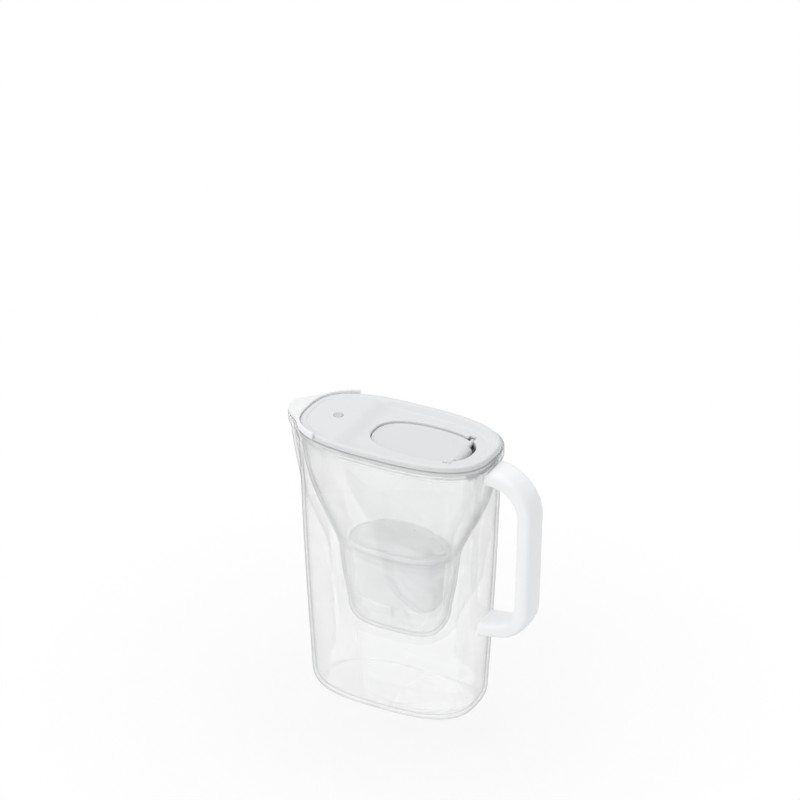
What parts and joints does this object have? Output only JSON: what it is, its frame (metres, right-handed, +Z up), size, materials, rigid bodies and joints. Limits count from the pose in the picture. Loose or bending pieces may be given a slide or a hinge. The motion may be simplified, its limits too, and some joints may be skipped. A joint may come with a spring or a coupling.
{
  "type": "water filter pitcher with flip lid",
  "caption": "Water filter pitcher: clear jug with spout and handle, lift-out hopper, filter cartridge, lid with hinged fill flap and spout cover, and a push-button change indicator.",
  "frame": {"origin": "centre of the flat face that the jug stands on", "axes": "+Z up, +X from the spout to the handle, +Y across the width"},
  "size_m": [0.2406, 0.104, 0.2644],
  "materials": {
    "clear_plastic": "clear, glossy",
    "hopper_plastic": "clear with a slight haze",
    "frosted_plastic": "translucent white, satin",
    "lid_plastic": "white, satin",
    "visor_plastic": "white, glossy",
    "cartridge_plastic": "white, slightly translucent",
    "seal_rubber": "light grey, matte",
    "mesh_plastic": "white mesh",
    "granules": "grey and black beads",
    "case_plastic": "white, satin",
    "gasket_rubber": "black, matte",
    "board": "green, satin",
    "cell_steel": "bare steel",
    "contact_brass": "plated",
    "switch_plastic": "black",
    "lens_plastic": "dark, glossy",
    "button_plastic": "dark grey, satin"
  },
  "bodies": {
    "jug": {"jug_shell": "clear_plastic", "handle": "frosted_plastic"},
    "hopper": {"hopper_shell": "hopper_plastic"},
    "cartridge": {"cartridge_cup": "cartridge_plastic", "cartridge_cover": "cartridge_plastic", "flange_seal": "seal_rubber", "top_screen": "mesh_plastic", "bottom_screen": "mesh_plastic", "filter_granules": "granules"},
    "lid": {"lid_shell": "lid_plastic"},
    "flap": {"fill_flap": "lid_plastic"},
    "visor": {"spout_visor": "visor_plastic"},
    "indicator": {"indicator_case": "case_plastic", "indicator_base": "case_plastic", "base_gasket": "gasket_rubber", "circuit_board": "board", "coin_cell": "cell_steel", "cell_clip": "contact_brass", "tact_switch": "switch_plastic", "status_lenses": "lens_plastic"},
    "button": {"indicator_button": "button_plastic"}
  },
  "joints": [
    {"name": "hopper_lift", "type": "slide", "parent": "jug", "child": "hopper", "axis": [0, 0, 1], "range_m": [0, 0.116]},
    {"name": "cartridge_lift", "type": "slide", "parent": "hopper", "child": "cartridge", "axis": [0, 0, 1], "range_m": [0, 0.163]},
    {"name": "lid_lift", "type": "slide", "parent": "cartridge", "child": "lid", "axis": [0, 0, 1], "range_m": [0, 0.04]},
    {"name": "fill_flap_hinge", "type": "hinge", "parent": "lid", "child": "flap", "pos_m": [0.0575, 0, 0.2527], "axis": [0, -1, 0], "range_deg": [-75, 0]},
    {"name": "spout_visor_hinge", "type": "hinge", "parent": "lid", "child": "visor", "pos_m": [-0.0625, 0, 0.2599], "axis": [0, -1, 0], "range_deg": [-45, 0]},
    {"name": "indicator_pull", "type": "slide", "parent": "lid", "child": "indicator", "axis": [0, 0, -1], "range_m": [0, 0.034]},
    {"name": "button_press", "type": "slide", "parent": "indicator", "child": "button", "axis": [0, 0, -1], "range_m": [0, 0.001], "stiffness_N_per_m": 400}
  ]
}
